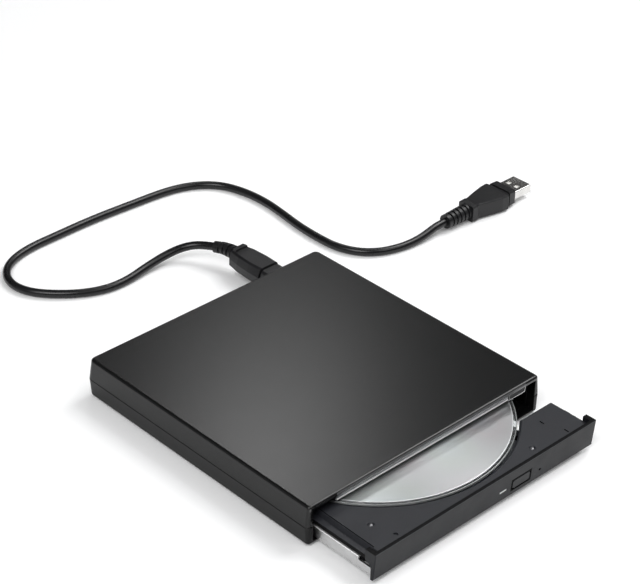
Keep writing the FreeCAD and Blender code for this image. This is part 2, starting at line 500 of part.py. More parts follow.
def loft_rects(secs, axis):
    ws = []
    for c, w, h, r, t in secs:
        # c centre offset (u, v), w width, h height, r corner, t position along the axis
        k = r * (1 - math.sqrt(0.5))
        u0, u1, v0, v1 = c[0] - w / 2, c[0] + w / 2, c[1] - h / 2, c[1] + h / 2

        def P(u, v):
            return V(u, t, v) if axis == 'y' else V(t, u, v)
        es = [Part.makeLine(P(u0 + r, v0), P(u1 - r, v0)),
              Part.Arc(P(u1 - r, v0), P(u1 - k, v0 + k), P(u1, v0 + r)).toShape(),
              Part.makeLine(P(u1, v0 + r), P(u1, v1 - r)),
              Part.Arc(P(u1, v1 - r), P(u1 - k, v1 - k), P(u1 - r, v1)).toShape(),
              Part.makeLine(P(u1 - r, v1), P(u0 + r, v1)),
              Part.Arc(P(u0 + r, v1), P(u0 + k, v1 - k), P(u0, v1 - r)).toShape(),
              Part.makeLine(P(u0, v1 - r), P(u0, v0 + r)),
              Part.Arc(P(u0, v0 + r), P(u0 + k, v0 + k), P(u0 + r, v0)).toShape()]
        ws.append(Part.Wire(es))
    return Part.makeLoft(ws, True, True)


def loft_poly(secs, axis):
    """secs: (points (u, v), position along the axis); ruled between the sections."""
    ws = []
    for pts, t in secs:
        ps_ = [V(u, t, v) if axis == 'y' else V(t, u, v) for u, v in pts]
        ws.append(Part.makePolygon(ps_ + [ps_[0]]))
    return Part.makeLoft(ws, True, True)


def house(cx, cz, top, mid, bot, zt, zm, zb, k=0.7):
    """Section with a narrower top face, sloping shoulders and a flat bottom; k chamfers its corners."""
    sh = (mid - top) / (zt - zm)
    return [(cx - top + k, cz + zt), (cx + top - k, cz + zt), (cx + top + sh * k, cz + zt - k), (cx + mid, cz + zm),
            (cx + bot, cz - zb + k), (cx + bot - k, cz - zb), (cx - bot + k, cz - zb), (cx - bot, cz - zb + k),
            (cx - mid, cz + zm), (cx - top - sh * k, cz + zt - k)]


# collar against the case, a narrow slot, then the body with its lip at the rear
grip = loft_poly([(house(PLUG_X, PLUG_Z, 5.3, 6.1, 6.1, 3.4, 0.6, 3.5, 0.8), 86.75),
                  (house(PLUG_X, PLUG_Z, 5.4, 6.2, 6.2, 3.5, 0.6, 3.6, 0.8), 95.3)], 'y')
grip = grip.fuse(loft_poly([(house(PLUG_X, PLUG_Z, 4.0, 4.6, 4.6, 3.0, 0.5, 3.0, 0.6), 95.2),
                            (house(PLUG_X, PLUG_Z, 4.0, 4.6, 4.6, 3.0, 0.5, 3.0, 0.6), 96.4)], 'y'))
grip = grip.fuse(loft_poly([(house(PLUG_X, PLUG_Z, 5.0, 6.9, 7.0, 4.3, 0.0, 4.5), 96.3),
                            (house(PLUG_X, PLUG_Z, 5.4, 6.8, 6.9, 4.3, 0.0, 4.5), 104.0),
                            (house(PLUG_X, PLUG_Z, 5.0, 6.2, 6.3, 4.3, 0.0, 4.5), 112.0),
                            (house(PLUG_X, PLUG_Z, 3.9, 5.1, 5.2, 4.0, 0.0, 4.2), 118.4)], 'y'))
grip = grip.fuse(loft_poly([([(PLUG_X - 3.9, PLUG_Z + 3.6), (PLUG_X + 3.9, PLUG_Z + 3.6), (PLUG_X + 3.6, PLUG_Z + 5.1), (PLUG_X - 3.6, PLUG_Z + 5.1)], 115.4),
                            ([(PLUG_X - 3.5, PLUG_Z + 3.6), (PLUG_X + 3.5, PLUG_Z + 3.6), (PLUG_X + 3.2, PLUG_Z + 5.0), (PLUG_X - 3.2, PLUG_Z + 5.0)], 117.9)], 'y'))
grip = grip.cut(rr_xz(PLUG_X, PLUG_Z, 6.9, 3.1, 0.35, 86, 88.05))
add("drive_plug_grip", grip.removeSplitter())
EXIT, NEXT = V(43.6, 131.4, 9.3), V(40.8, 138.3, 8.6)
RELIEF = [V(46.4, 118.4, 9.7), V(46.4, 122.4, 9.7), EXIT - (NEXT - EXIT).normalize() * 4.9, EXIT]
rel = None
rads = [3.75, 3.4, 3.05, 2.8]
for i in range(3):
    s = cone(rads[i], rads[i + 1], RELIEF[i], RELIEF[i + 1])
    if i:
        s = s.fuse(Part.makeSphere(rads[i], RELIEF[i]))
    rel = s if rel is None else rel.fuse(s)
rel = rel.removeSplitter()
for i, tt in ((0, 0.22), (0, 0.95), (1, 0.62), (2, 0.25)):
    a, b = RELIEF[i], RELIEF[i + 1]
    d = (b - a)
    d.normalize()
    m = a + (b - a) * tt
    r = rads[i] + (rads[i + 1] - rads[i]) * tt
    rg = Part.makeCylinder(r + 2, 1.0, m, d).cut(Part.makeCylinder(r - 0.85, 1.0, m, d))
    rel = rel.cut(rg)
add("drive_plug_relief", rel)

ROUTE = [(43.6, 131.4, 9.3), (40.8, 138.3, 8.6), (34.9, 143.9, 7.2), (25.6, 146.6, 5.2), (13.6, 146.6, 3.3),
         (2.0, 145.0, 2.2), (-9.8, 145.2, 2.05), (-21.4, 150.0, 2.05), (-32.2, 158.9, 2.05), (-39.4, 168.4, 2.05), (-41.2, 178.8, 2.05),
         (-37.4, 188.8, 2.05), (-28.4, 196.0, 2.05), (-15.8, 199.5, 2.05), (0.0, 200.0, 2.05), (24.0, 200.6, 2.05), (48.0, 199.2, 2.05),
         (68.8, 197.9, 2.05), (82.5, 193.5, 2.05), (92.7, 184.4, 2.05), (97.2, 170.8, 2.05), (98.2, 155.8, 2.05),
         (96.6, 141.7, 2.05), (94.5, 127.6, 2.05), (93.9, 113.8, 2.05), (94.4, 101.7, 2.05), (98.6, 91.0, 2.05), (106.6, 83.6, 2.05),
         (117.0, 79.9, 2.05), (126.6, 78.8, 2.35), (134.2, 78.7, 3.5), (141.0, 79.0, 4.9), (147.2, 79.0, 4.9)]


def cord_tube(route, dia):
    P = [V(*p) for p in route]
    runs = [(P[i + 1] - P[i]).Length for i in range(len(P) - 1)]
    edges, cur, length, rmin = [], P[0], 0.0, 1e9
    for i in range(1, len(P) - 1):
        a = (P[i] - P[i - 1]).normalize()
        b = (P[i + 1] - P[i]).normalize()
        half = 0.5 * math.acos(max(-1, min(1, a.dot(b))))
        t = 0.45 * min(runs[i - 1], runs[i])
        r = t / math.tan(half)
        rmin = min(rmin, r)
        p0, p1 = P[i] - a * t, P[i] + b * t
        bis = (b - a).normalize()
        centre = P[i] + bis * (r / math.cos(half))
        mid = centre - bis * r
        edges.append(Part.LineSegment(cur, p0).toShape())
        edges.append(Part.Arc(p0, mid, p1).toShape())
        length += (p0 - cur).Length + 2 * half * r
        print("bend %2d radius %6.1f mm  turn %5.1f deg" % (i, r, math.degrees(2 * half)))
        cur = p1
    edges.append(Part.LineSegment(cur, P[-1]).toShape())
    length += (P[-1] - cur).Length
    wire = Part.Wire(edges)
    d = (P[1] - P[0]).normalize()
    circ = Part.Wire([Part.makeCircle(dia / 2, P[0], d)])
    tube = wire.makePipeShell([circ], True, False)
    tube = tube if tube.Solids else Part.makeSolid(tube)
    vol = math.pi * dia * dia / 4 * length
    print("cord length %.1f mm, least radius %.1f mm, volume %.0f against %.0f" % (length, rmin, tube.Volume, vol))
    return tube


add("usb_cord", cord_tube(ROUTE, CORD_D))

# plug at the computer end: relief, grip, steel shell, plastic tongue
hr = cone(3.6, 4.2, V(147.2, HOST_Y, HOST_Z), V(162.0, HOST_Y, HOST_Z))
for i in range(5):
    x = 149.3 + 2.6 * i
    r = 3.6 + 0.6 * (x - 147.2) / 14.8
    hr = hr.cut(cyl_x(r + 2, HOST_Y, HOST_Z, x, x + 1.0).cut(cyl_x(r - 0.8, HOST_Y, HOST_Z, x, x + 1.0)))
add("host_plug_relief", hr)


def slab(hw, hh, k):
    return [(HOST_Y - hw + k, HOST_Z + hh), (HOST_Y + hw - k, HOST_Z + hh), (HOST_Y + hw, HOST_Z + hh - k), (HOST_Y + hw, HOST_Z - hh + k),
            (HOST_Y + hw - k, HOST_Z - hh), (HOST_Y - hw + k, HOST_Z - hh), (HOST_Y - hw, HOST_Z - hh + k), (HOST_Y - hw, HOST_Z + hh - k)]


# neck block, body that widens towards the front, a groove, then the front flange
hg = loft_poly([(slab(4.9, 4.3, 0.7), 162.0), (slab(5.0, 4.4, 0.7), 165.4), (slab(4.6, 4.2, 0.6), 166.4), (slab(6.5, 4.2, 0.6), 174.0),
                (slab(7.9, 4.2, 0.6), 180.4), (slab(8.2, 4.2, 0.6), 184.4), (slab(7.6, 4.0, 0.6), 185.2)], 'x')
hg = hg.fuse(loft_poly([(slab(6.0, 3.5, 0.5), 185.1), (slab(6.0, 3.5, 0.5), 186.7)], 'x'))
hg = hg.fuse(loft_poly([(slab(6.9, 4.2, 0.8), 186.6), (slab(6.7, 4.1, 0.8), 190.8)], 'x'))
hs_outer = rr_yz(HOST_Y, HOST_Z, 12.0, 4.5, 0.5, 188.1, 203.1)
hg = hg.cut(rr_yz(HOST_Y, HOST_Z, 12.02, 4.52, 0.5, 188.0, 204))
add("host_plug_grip", hg.removeSplitter())
hs = hs_outer.cut(box(189.1, HOST_Y - 5.65, HOST_Z - 1.9, 205, HOST_Y + 5.65, HOST_Z + 1.9))
for sy in (-2.6, 2.6):
    for zz in (HOST_Z + 1.6, HOST_Z - 2.6):
        hs = hs.cut(box(195.1, HOST_Y + sy - 1.1, zz, 197.5, HOST_Y + sy + 1.1, zz + 1.0))
add("host_plug_shell", hs)
ht = fuse(box(189.3, HOST_Y - 5.5, HOST_Z - 1.8, 190.7, HOST_Y + 5.5, HOST_Z + 1.8),
          box(190.1, HOST_Y - 5.5, HOST_Z - 0.1, 202.5, HOST_Y + 5.5, HOST_Z + 1.8))
add("host_plug_tongue", ht)

# ---------------------------------------------------------------- write
bb = None
for name, s in NODES.items():
    sol = s.Solids
    ok = all(q.isValid() and q.isClosed() for q in sol) and len(sol) > 0
    out = sol[0] if len(sol) == 1 else Part.makeCompound(sol)
    if not ok or s.Volume <= 0:
        print("BAD", name, len(sol), s.isValid())
    out.exportStep("parts/" + name + ".step")
    b = s.BoundBox
    print("%-20s solids %d vol %9.1f  x %.2f %.2f y %.2f %.2f z %.2f %.2f" % (name, len(sol), s.Volume, b.XMin, b.XMax, b.YMin, b.YMax, b.ZMin, b.ZMax))
print(len(NODES), "nodes")
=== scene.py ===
import math
import bpy
import bmesh
from mathutils import Matrix, Vector


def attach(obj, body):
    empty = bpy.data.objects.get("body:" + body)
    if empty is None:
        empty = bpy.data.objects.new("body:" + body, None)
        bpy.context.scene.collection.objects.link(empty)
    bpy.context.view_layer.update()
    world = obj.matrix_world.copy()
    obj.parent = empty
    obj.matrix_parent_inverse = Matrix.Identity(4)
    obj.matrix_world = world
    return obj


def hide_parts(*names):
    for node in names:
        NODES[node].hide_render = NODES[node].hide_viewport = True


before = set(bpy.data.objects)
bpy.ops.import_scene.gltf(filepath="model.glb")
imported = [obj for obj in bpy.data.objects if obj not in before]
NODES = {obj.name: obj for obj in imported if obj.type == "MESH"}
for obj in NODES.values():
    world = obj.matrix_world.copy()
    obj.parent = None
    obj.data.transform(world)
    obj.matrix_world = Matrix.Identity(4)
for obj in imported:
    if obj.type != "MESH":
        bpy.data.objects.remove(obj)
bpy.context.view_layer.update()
SC = bpy.context.scene
MM = 0.001


# ------------------------------------------------------------------ camera
yaw, pitch, roll = math.radians(43.6056), math.radians(32.5879), math.radians(0.7326)
fwd = Vector((math.sin(yaw) * math.cos(pitch), math.cos(yaw) * math.cos(pitch), -math.sin(pitch)))
right = Vector((math.cos(yaw), -math.sin(yaw), 0.0))
up = right.cross(fwd)
r2 = right * math.cos(roll) + up * math.sin(roll)
u2 = -right * math.sin(roll) + up * math.cos(roll)
cam_data = bpy.data.cameras.new("camera")
cam_data.lens = 112.15
cam_data.sensor_width = 36.0
cam_data.sensor_fit = "HORIZONTAL"
cam_data.clip_start = 0.05
cam_data.clip_end = 20.0
cam = bpy.data.objects.new("camera", cam_data)
m = Matrix((r2, u2, -fwd)).transposed().to_4x4()
m.translation = Vector((-0.47832, -0.48936, 0.50194))
cam.matrix_world = m
SC.collection.objects.link(cam)
SC.camera = cam

# ------------------------------------------------------------------ materials
class Mat:
    """A node material: constants go on the shader's own sockets, detail is linked."""

    def __init__(self, name, **sock):
        self.m = bpy.data.materials.new(name)
        self.m.use_nodes = True
        self.t = self.m.node_tree
        self.b = self.t.nodes["Principled BSDF"]
        self.tc = self.t.nodes.new("ShaderNodeTexCoord")
        for k, v in sock.items():
            self.set(k, v)
        self.normal = None

    def set(self, k, v):
        s = self.b.inputs[k.replace("_", " ")]
        if isinstance(v, tuple) and len(v) == 3 and s.type == "RGBA":
            v = (*v, 1.0)
        s.default_value = v

    def n(self, kind, **props):
        x = self.t.nodes.new(kind)
        for k, v in props.items():
            setattr(x, k, v)
        return x

    def l(self, a, b):
        self.t.links.new(a, b)

    def co(self, scale=(1, 1, 1), rot=(0, 0, 0), loc=(0, 0, 0)):
        """Object coordinates in millimetres, times scale."""
        mp = self.n("ShaderNodeMapping")
        mp.inputs["Scale"].default_value = tuple(1000.0 * s for s in scale)
        mp.inputs["Rotation"].default_value = rot
        mp.inputs["Location"].default_value = loc
        self.l(self.tc.outputs["Object"], mp.inputs["Vector"])
        return mp.outputs["Vector"]

    def noise(self, scale=1.0, detail=3.0, rough=0.55, co=None, dist=0.0):
        x = self.n("ShaderNodeTexNoise")
        x.inputs["Scale"].default_value = scale
        x.inputs["Detail"].default_value = detail
        x.inputs["Roughness"].default_value = rough
        x.inputs["Distortion"].default_value = dist
        self.l(co or self.co(), x.inputs["Vector"])
        return x.outputs["Fac"]

    def voronoi(self, scale=1.0, co=None, feature="F1", out="Distance"):
        x = self.n("ShaderNodeTexVoronoi", feature=feature)
        x.inputs["Scale"].default_value = scale
        self.l(co or self.co(), x.inputs["Vector"])
        return x.outputs[out]

    def wave(self, scale, co=None, dist=0.0, detail=2.0, direction="X"):
        x = self.n("ShaderNodeTexWave", wave_type="BANDS", bands_direction=direction)
        x.inputs["Scale"].default_value = scale
        x.inputs["Distortion"].default_value = dist
        x.inputs["Detail"].default_value = detail
        self.l(co or self.co(), x.inputs["Vector"])
        return x.outputs["Fac"]

    def ramp(self, fac, stops, interp="LINEAR"):
        x = self.n("ShaderNodeValToRGB")
        x.color_ramp.interpolation = interp
        e = x.color_ramp.elements
        while len(e) < len(stops):
            e.new(0.5)
        for i, (p, c) in enumerate(stops):
            e[i].position = p
            e[i].color = (*c, 1.0) if len(c) == 3 else c
        self.l(fac, x.inputs["Fac"])
        return x.outputs["Color"]

    def rng(self, fac, lo, hi, a=0.0, b=1.0, smooth=False):
        x = self.n("ShaderNodeMapRange")
        if smooth:
            x.interpolation_type = "SMOOTHSTEP"
        x.inputs["From Min"].default_value = a
        x.inputs["From Max"].default_value = b
        x.inputs["To Min"].default_value = lo
        x.inputs["To Max"].default_value = hi
        self.l(fac, x.inputs["Value"])
        return x.outputs["Result"]

    def math(self, op, a, b=None, clamp=False):
        x = self.n("ShaderNodeMath", operation=op, use_clamp=clamp)
        for i, v in enumerate((a, b)):
            if v is None:
                continue
            if isinstance(v, (int, float)):
                x.inputs[i].default_value = v
            else:
                self.l(v, x.inputs[i])
        return x.outputs["Value"]

    def sep(self, co=None):
        x = self.n("ShaderNodeSeparateXYZ")
        self.l(co or self.co(), x.inputs["Vector"])
        return x.outputs["X"], x.outputs["Y"], x.outputs["Z"]

    def mix(self, fac, a, b, blend="MIX"):
        x = self.n("ShaderNodeMix", data_type="RGBA", blend_type=blend)
        for k, v in (("Factor", fac), ("A", a), ("B", b)):
            s = next(i for i in x.inputs if i.name == k and (i.type == "RGBA" or k == "Factor") and i.enabled)
            if isinstance(v, tuple):
                s.default_value = (*v, 1.0)
            elif isinstance(v, (int, float)):
                s.default_value = v
            else:
                self.l(v, s)
        return next(o for o in x.outputs if o.type == "RGBA")

    def bump(self, height, strength=0.3, dist=0.02):
        """dist in millimetres."""
        x = self.n("ShaderNodeBump")
        x.inputs["Strength"].default_value = strength
        x.inputs["Distance"].default_value = dist * MM
        self.l(height, x.inputs["Height"])
        if self.normal is not None:
            self.l(self.normal, x.inputs["Normal"])
        self.normal = x.outputs["Normal"]
        return self

    def edges(self, radius=0.3, samples=4):
        """Mask of convex and concave edges, from a small bevel."""
        bv = self.n("ShaderNodeBevel", samples=samples)
        bv.inputs["Radius"].default_value = radius * MM
        g = self.n("ShaderNodeNewGeometry")
        dp = self.n("ShaderNodeVectorMath", operation="DOT_PRODUCT")
        self.l(bv.outputs["Normal"], dp.inputs[0])
        self.l(g.outputs["Normal"], dp.inputs[1])
        return self.rng(dp.outputs["Value"], 1.0, 0.0, 0.80, 0.995)

    def inside(self, v, lo, hi, soft=0.05):
        """1 where lo < v < hi."""
        return self.math("MULTIPLY", self.rng(v, 0, 1, lo - soft, lo + soft), self.rng(v, 1, 0, hi - soft, hi + soft))

    def times(self, *f):
        out = f[0]
        for x in f[1:]:
            out = self.math("MULTIPLY", out, x)
        return out

    def normal_xyz(self):
        g = self.n("ShaderNodeNewGeometry")
        return self.sep(g.outputs["Normal"])

    def round_edges(self, radius=0.3, samples=4):
        bv = self.n("ShaderNodeBevel", samples=samples)
        bv.inputs["Radius"].default_value = radius * MM
        self.normal = bv.outputs["Normal"]
        return self

    def done(self):
        if self.normal is not None:
            self.l(self.normal, self.b.inputs["Normal"])
        return self.m

    def colour(self, out):
        self.l(out, self.b.inputs["Base Color"])
        return self

    def rough(self, out):
        self.l(out, self.b.inputs["Roughness"])
        return self


def moulded(name, base, rough=(0.35, 0.45), grain=0.22, gstr=0.25, edge=0.0, radius=0.3, mottle=0.18, spec=0.5,
            scuff=0.0, coat=0.0, mod=None):
    """Moulded plastic: spark-eroded grain, slow colour and gloss variation, edges rubbed a little shinier."""
    k = Mat(name, Specular_IOR_Level=spec)
    if coat:
        k.set("Coat_Weight", coat)
        k.set("Coat_Roughness", 0.12)
    if radius:
        k.round_edges(radius)
    big = k.noise(0.035, 4, 0.6)
    lo = tuple(c * (1 - mottle) for c in base)
    hi = tuple(c * (1 + mottle) for c in base)
    col = k.ramp(big, [(0.3, lo), (0.7, hi)])
    speck = k.noise(2.6, 2, 0.6)
    col = k.mix(k.rng(speck, 0.0, 0.35, 0.45, 0.75), col, tuple(min(1, c * 1.7 + 0.002) for c in base))
    if edge:
        e = k.math("MULTIPLY", k.edges(0.45), k.rng(k.noise(0.5, 3), 0.2, 1.0, 0.35, 0.65), True)
        col = k.mix(k.math("MULTIPLY", e, edge), col, tuple(min(1, c * 2.6 + 0.01) for c in base))
    r = k.rng(k.noise(0.08, 5, 0.65), rough[0], rough[1], 0.3, 0.7)
    if scuff:
        s = k.noise(0.22, 4, 0.6, co=k.co((0.12, 2.2, 1.0), rot=(0, 0, 0.5)))
        r = k.math("ADD", r, k.math("MULTIPLY", k.rng(s, 0, 1, 0.62, 0.74), scuff))
    if mod:
        col, r = mod(k, col, r)
    k.colour(col)
    k.rough(r)
    if gstr:
        k.bump(k.noise(1.0 / grain, 3, 0.55), gstr, 0.03)
    return k.done()


def brushed(name, base, rough=(0.2, 0.34), along="X", pitch=6.0, strength=0.12, radius=0.12, spangle=0.0,
            dirt=0.25, mod=None):
    """Rolled or brushed metal: fine lines along one axis, with stains and a slight tarnish."""
    k = Mat(name, Metallic=1.0)
    if radius:
        k.round_edges(radius)
    s = {"X": (0.03, 1, 1), "Y": (1, 0.03, 1), "Z": (1, 1, 0.03)}[along]
    lines = k.noise(pitch, 4, 0.7, co=k.co(s))
    slow = k.noise(0.07, 4, 0.6)
    col = k.ramp(slow, [(0.3, tuple(c * (1 - dirt) for c in base)), (0.65, base)])
    col = k.mix(k.rng(lines, 0.0, 0.45, 0.35, 0.7), col, tuple(min(1, c * 1.12) for c in base))
    if spangle:
        v = k.voronoi(0.22, feature="F1", out="Color")
        bw = k.n("ShaderNodeRGBToBW")
        k.l(v, bw.inputs["Color"])
        col = k.mix(k.rng(bw.outputs["Val"], 0, spangle), col, tuple(min(1, c * 1.25) for c in base))
    r = k.math("ADD", k.rng(lines, rough[0], rough[1], 0.3, 0.7), k.rng(slow, 0.0, 0.08, 0.35, 0.7))
    if mod:
        col, r = mod(k, col, r)
    k.colour(col)
    k.rough(r)
    k.bump(lines, strength, 0.015)
    return k.done()


def lid_mod(k, col, r):
    # the lid's rim is a cut, polished face; its colour is also lightened there as painted reflection, and its upper
    # front edge carries a painted highlight line
    x, y, z = k.sep()
    nx, ny, nz = k.normal_xyz()
    front = k.rng(ny, 1, 0, -0.9, -0.6)
    rim = k.times(front, k.rng(z, 0, 1, 16.9, 17.1))
    edge = k.times(k.rng(y, 1, 0, -52.35, -52.2), k.rng(z, 0, 1, 18.7, 18.85))
    side = k.rng(nx, 1, 0, -0.95, -0.8)
    k.l(k.math("ADD", k.rng(rim, 0.4, 1.0), k.rng(side, 0.0, -0.1)), k.b.inputs["Specular IOR Level"])
    # painted reflection: the rim's colour is lightened
    col = k.mix(k.times(rim, k.inside(x, -51.5, 58.5), k.rng(k.noise(0.3, 3), 0.75, 1.0, 0.3, 0.7)), col,
                (0.12, 0.121, 0.125))
    # painted highlight: a light line along the lid's upper front edge
    col = k.mix(k.times(edge, k.rng(k.noise(0.3, 3), 0.5, 1.0, 0.3, 0.7)), col, (0.24, 0.24, 0.245))
    r = k.math("ADD", r, k.math("MULTIPLY", rim, -0.12))
    return col, r


def tray_mod(k, col, r):
    # the outer side of the left ledge is coloured darker as painted shade from its own draft, and given less specular
    nx, ny, nz = k.normal_xyz()
    side = k.rng(nx, 1, 0, -0.99, -0.94)
    k.l(k.rng(side, 0.4, 0.05), k.b.inputs["Specular IOR Level"])
    # painted shade: the faces turned to -X are coloured near-black
    col = k.mix(side, col, (0.003, 0.003, 0.003))
    return col, r


def bezel_mod(k, col, r):
    # textured front; the top faces coloured darker as painted shade and given less specular; a painted highlight line
    # along the upper edge; a dark ring round the button, the real parting gap widened by painted shade
    x, y, z = k.sep()
    nx, ny, nz = k.normal_xyz()
    top = k.rng(nz, 0, 1, 0.75, 0.9)
    front = k.rng(ny, 1, 0, -0.9, -0.6)
    painted_highlight_line = k.times(front, k.rng(z, 0, 1, 15.0, 15.12))
    dx = k.math("SUBTRACT", k.math("ABSOLUTE", k.math("SUBTRACT", x, 19.1)), 5.05)
    dz = k.math("SUBTRACT", k.math("ABSOLUTE", k.math("SUBTRACT", z, 7.45)), 2.05)
    gap_painted_shade = k.times(front, k.rng(k.math("MAXIMUM", dx, dz), 1, 0, 0.95, 1.1))
    k.l(k.times(k.rng(top, 0.22, 0.07), k.rng(gap_painted_shade, 1.0, 0.1)), k.b.inputs["Specular IOR Level"])
    # painted shade on the top faces, a painted highlight line on the upper front edge, and a painted shade ring round
    # the button
    col = k.mix(top, col, (0.0045, 0.0045, 0.005))
    col = k.mix(k.times(painted_highlight_line, 0.85), col, (0.12, 0.123, 0.128))
    col = k.mix(gap_painted_shade, col, (0.001, 0.001, 0.001))
    return col, r


def cover_mod(k, col, r):
    # the lower tab's face coloured near-black and rougher; painted highlight lines along the flange's lower edge and
    # the tab's lower and right edges, coloured near-white and almost non-metallic
    x, y, z = k.sep()
    near = k.rng(y, 1, 0, -51.1, -50.9)
    tab = k.times(near, k.inside(x, 48.8, 58.42), k.inside(z, 14.32, 17.0))
    low = k.times(near, k.rng(z, 1, 0, 15.58, 15.66), k.rng(x, 1, 0, 48.3, 48.5))
    tlow = k.times(near, k.rng(z, 1, 0, 14.2, 14.3), k.rng(x, 0, 1, 48.3, 48.5))
    tright = k.times(near, k.rng(x, 0, 1, 58.42, 58.5), k.rng(z, 1, 0, 16.9, 17.0))
    painted_edge_highlight = k.math("MAXIMUM", low, k.math("MAXIMUM", tlow, tright))
    # the lower tab's face is coloured near-black
    col = k.mix(tab, col, (0.022, 0.022, 0.023))
    # painted highlight: near-white lines along the sheared edges
    col = k.mix(painted_edge_highlight, col, (0.97, 0.97, 0.97))
    k.l(k.rng(painted_edge_highlight, 1.0, 0.1), k.b.inputs["Metallic"])
    r = k.math("ADD", r, k.math("MULTIPLY", painted_edge_highlight, 0.3))
    r = k.math("ADD", r, k.math("MULTIPLY", tab, 0.15))
    return col, r


RAIL_TOP = max(v.co.z for v in NODES["slide_rail_left"].data.vertices) / MM


def rail_mod(k, col, r):
    # painted highlight: the rail's upper edge band is coloured near-white and made rougher
    x, y, z = k.sep()
    edge = k.rng(z, 0, 1, RAIL_TOP - 0.62, RAIL_TOP - 0.5)
    col = k.mix(edge, col, (0.98, 0.98, 0.98))
    return col, k.math("ADD", r, k.math("MULTIPLY", edge, 0.35))


M = {}
M["case"] = moulded("case_plastic", (0.0032, 0.0033, 0.0034), (0.255, 0.265), 0.3, 0.08, edge=0.2, radius=0.25,
                    mottle=0.08, scuff=0.008, spec=0.4, mod=lid_mod)
M["base"] = moulded("case_plastic_base", (0.0032, 0.0033, 0.0035), (0.33, 0.38), 0.3, 0.08, edge=0.2, radius=0.25,
                    mottle=0.08, scuff=0.008, spec=0.25)
M["tray"] = moulded("tray_plastic", (0.0125, 0.0135, 0.0175), (0.42, 0.52), 0.28, 0.25, edge=0.3, radius=0.22, spec=0.4, mod=tray_mod)
M["bezel"] = moulded("bezel_plastic", (0.0088, 0.0096, 0.0116), (0.36, 0.46), 0.2, 0.2, edge=0.3, radius=0.22,
                     spec=0.3, mod=bezel_mod)
M["button"] = moulded("button_plastic", (0.0088, 0.0096, 0.0116), (0.34, 0.42), 0.2, 0.2, edge=0.3, radius=0.22,
                      spec=0.25)
M["rubber"] = moulded("rubber", (0.010, 0.010, 0.010), (0.7, 0.85), 0.4, 0.5, radius=0.2, spec=0.3)
M["sheet"] = brushed("steel_sheet", (0.60, 0.61, 0.62), (0.24, 0.36), "X", 5.0, 0.12, 0.1, spangle=0.3)
M["cover"] = brushed("cover_steel", (0.79, 0.80, 0.81), (0.26, 0.38), "X", 5.0, 0.12, 0.1, spangle=0.2, mod=cover_mod)
M["pan"] = brushed("pan_steel", (0.045, 0.045, 0.047), (0.36, 0.5), "X", 5.0, 0.12, 0.1)
M["rail"] = brushed("rail_steel", (0.66, 0.66, 0.66), (0.24, 0.36), "Y", 7.0, 0.12, 0.12, mod=rail_mod)
M["pin"] = brushed("pin_steel", (0.26, 0.26, 0.27), (0.3, 0.42), "Z", 8.0, 0.08, 0.08)
M["screw"] = brushed("screw_steel", (0.72, 0.72, 0.71), (0.14, 0.26), "Z", 8.0, 0.08, 0.08)
M["guide"] = moulded("guide_plastic", (0.62, 0.61, 0.56), (0.4, 0.5), 0.5, 0.12, radius=0.15, mottle=0.05)
M["nylon"] = moulded("black_nylon", (0.02, 0.02, 0.02), (0.4, 0.55), 0.3, 0.2, radius=0.12)
M["motor"] = brushed("motor_steel", (0.52, 0.52, 0.53), (0.28, 0.42), "Z", 5.0, 0.15, 0.12, spangle=0.15)
M["hub"] = moulded("hub_plastic", (0.028, 0.028, 0.030), (0.32, 0.45), 0.25, 0.2, edge=0.2, radius=0.2)
M["ball"] = brushed("ball_steel", (0.82, 0.82, 0.82), (0.05, 0.1), "Z", 3.0, 0.02, 0.0, dirt=0.1)
M["sled"] = brushed("sled_metal", (0.42, 0.42, 0.43), (0.4, 0.55), "X", 2.0, 0.3, 0.15, spangle=0.1)
M["jacket"] = moulded("cord_jacket", (0.0055, 0.0055, 0.0062), (0.24, 0.34), 0.6, 0.05, radius=0, mottle=0.1, spec=0.4)
M["plug"] = moulded("plug_plastic", (0.0075, 0.0075, 0.0085), (0.34, 0.46), 0.24, 0.2, edge=0.2, radius=0.2, spec=0.4)
M["shell"] = brushed("plug_shell", (0.78, 0.77, 0.75), (0.14, 0.24), "X", 7.0, 0.08, 0.1)
M["tongue"] = moulded("plug_tongue", (0.74, 0.74, 0.71), (0.35, 0.45), 0.4, 0.1, radius=0.1, mottle=0.04)


def pcb_material():
    k = Mat("pcb", Specular_IOR_Level=0.5)
    x, y, z = k.sep()
    tracks = k.wave(1.1, co=k.co((1, 0.25, 0)), dist=6.0, detail=1.0)
    mask = k.rng(tracks, 0, 1, 0.72, 0.78)
    col = k.mix(mask, (0.008, 0.075, 0.030), (0.02, 0.15, 0.06))
    pads = k.rng(k.voronoi(0.55, feature="DISTANCE_TO_EDGE"), 1, 0, 0.10, 0.13)
    spots = k.rng(k.voronoi(0.8), 1, 0, 0.14, 0.16)
    col = k.mix(k.math("MULTIPLY", spots, 0.9), col, (0.75, 0.62, 0.34))
    chip = k.rng(z, 0, 1, 5.45, 5.48)
    col = k.mix(chip, col, (0.018, 0.018, 0.019))
    k.colour(col)
    k.rough(k.rng(chip, 0.25, 0.55))
    k.bump(tracks, 0.15, 0.03)
    return k.done()


M["pcb"] = pcb_material()


def lens_material():
    k = Mat("lens", Transmission_Weight=0.85, IOR=1.5)
    k.colour(k.ramp(k.noise(0.4, 2), [(0.3, (0.55, 0.62, 0.78)), (0.7, (0.7, 0.66, 0.86))]))
    k.rough(k.rng(k.noise(3, 2), 0.03, 0.07))
    return k.done()


M["lens"] = lens_material()


def window_material():
    k = Mat("light_window", Transmission_Weight=0.3, IOR=1.49)
    k.round_edges(0.12)
    k.colour(k.ramp(k.noise(0.9, 3), [(0.3, (0.74, 0.77, 0.76)), (0.7, (0.86, 0.88, 0.86))]))
    k.rough(k.rng(k.noise(2.0, 3), 0.22, 0.36))
    k.bump(k.noise(4.0, 2), 0.12, 0.02)
    return k.done()


M["window"] = window_material()

